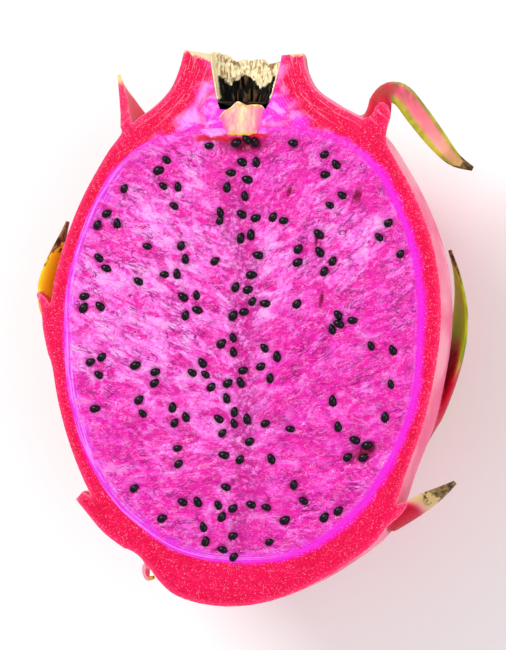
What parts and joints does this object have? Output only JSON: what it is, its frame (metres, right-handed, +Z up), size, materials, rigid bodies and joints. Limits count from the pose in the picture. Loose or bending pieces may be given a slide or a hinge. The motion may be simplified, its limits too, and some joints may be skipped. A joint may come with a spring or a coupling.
{
  "type": "dragon fruit half",
  "caption": "Lengthwise half of a red-fleshed dragon fruit lying cut face up, with leafy bracts, seeded flesh and a dried flower in its neck.",
  "frame": {"origin": "on the small flat spot of the skin that the half rests on, below the middle of the flesh", "axes": "+Z up out of the cut face, +Y along the fruit to the neck with the dried flower, +X to the right of the cut face seen from above with the neck up"},
  "size_m": [0.0955, 0.1196, 0.0483],
  "materials": {
    "rind": "satin fruit skin, crimson and moist where it is cut, pink outside, with green and dry brown bract tips",
    "flesh": "wet magenta pulp with glossy black seeds",
    "dried_flower": "matt, papery, cream at the rim and nearly black inside"
  },
  "bodies": {
    "root": {"rind": "rind", "flesh": "flesh", "dried_flower": "dried_flower"}
  },
  "joints": []
}
